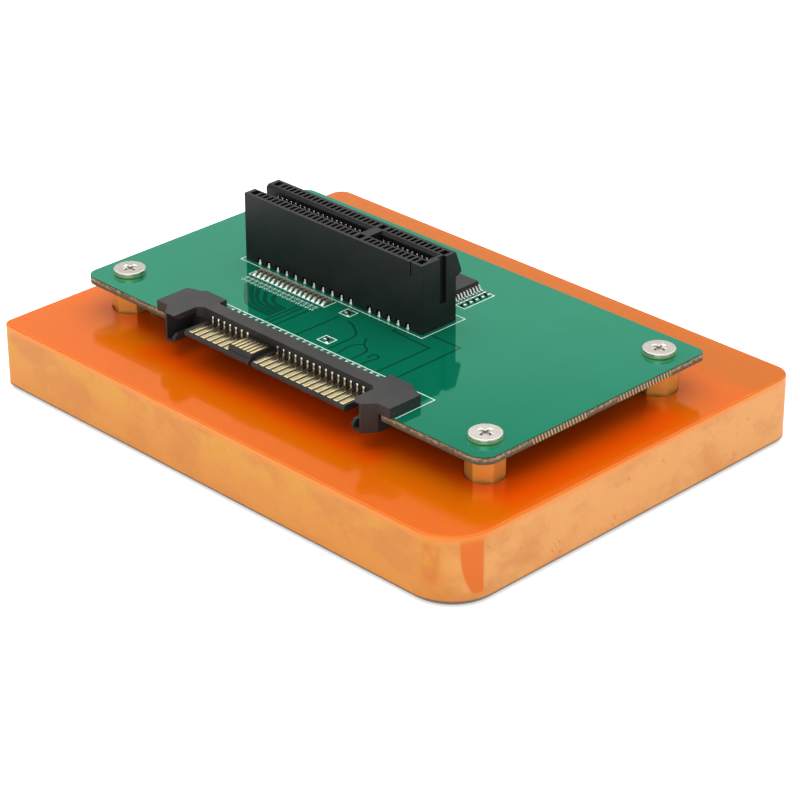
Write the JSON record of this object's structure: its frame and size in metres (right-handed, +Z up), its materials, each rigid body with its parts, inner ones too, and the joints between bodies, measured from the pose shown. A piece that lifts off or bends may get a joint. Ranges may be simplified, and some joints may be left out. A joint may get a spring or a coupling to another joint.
{
  "type": "drive bay adapter card",
  "caption": "Adapter card with an open-ended card slot on top and a drive plug at one edge, screwed to a thick display base on hex standoffs.",
  "frame": {"origin": "centre of the base plate's underside", "axes": "+X along the drive plug's length, -Y out of the drive plug's mating side, +Z up out of the card slot"},
  "size_m": [0.0954, 0.0712, 0.0274],
  "materials": {
    "base_acrylic": "polished orange plastic with sawn, satin sides",
    "board_mask": "glossy green solder mask over glass-fibre laminate",
    "brass_standoff": "turned brass",
    "screw_nickel": "nickel plated steel",
    "slot_plastic": "fine matt black moulding",
    "plug_plastic": "satin dark grey moulding",
    "contact_gold": "thin gold plating",
    "spring_plating": "pale bright plating on spring contacts",
    "solder": "bright solder",
    "tinned_lead": "tin plated",
    "chip_plastic": "moulded black package",
    "capacitor_ceramic": "fired brown ceramic",
    "resistor_ceramic": "dark glazed film"
  },
  "bodies": {
    "root": {"base_plate": "base_acrylic", "circuit_board": "board_mask", "standoff_front_left": "brass_standoff", "board_screw_front_left": "screw_nickel", "standoff_front_right": "brass_standoff", "board_screw_front_right": "screw_nickel", "standoff_back_left": "brass_standoff", "board_screw_back_left": "screw_nickel", "standoff_back_right": "brass_standoff", "board_screw_back_right": "screw_nickel", "card_slot_housing": "slot_plastic", "card_slot_contacts_front": "spring_plating", "card_slot_contacts_back": "spring_plating", "card_slot_top_joints": "solder", "card_slot_bottom_joints": "solder", "drive_plug_housing": "plug_plastic", "signal_blades": "contact_gold", "power_blades": "contact_gold", "fine_blades": "contact_gold", "lower_blades": "contact_gold", "drive_plug_tails": "tinned_lead", "drive_plug_tail_solder": "solder", "chip_body": "chip_plastic", "chip_leads": "tinned_lead", "capacitor_bodies": "capacitor_ceramic", "capacitor_end_caps": "tinned_lead", "resistor_bodies": "resistor_ceramic", "resistor_end_caps": "tinned_lead"}
  },
  "joints": []
}
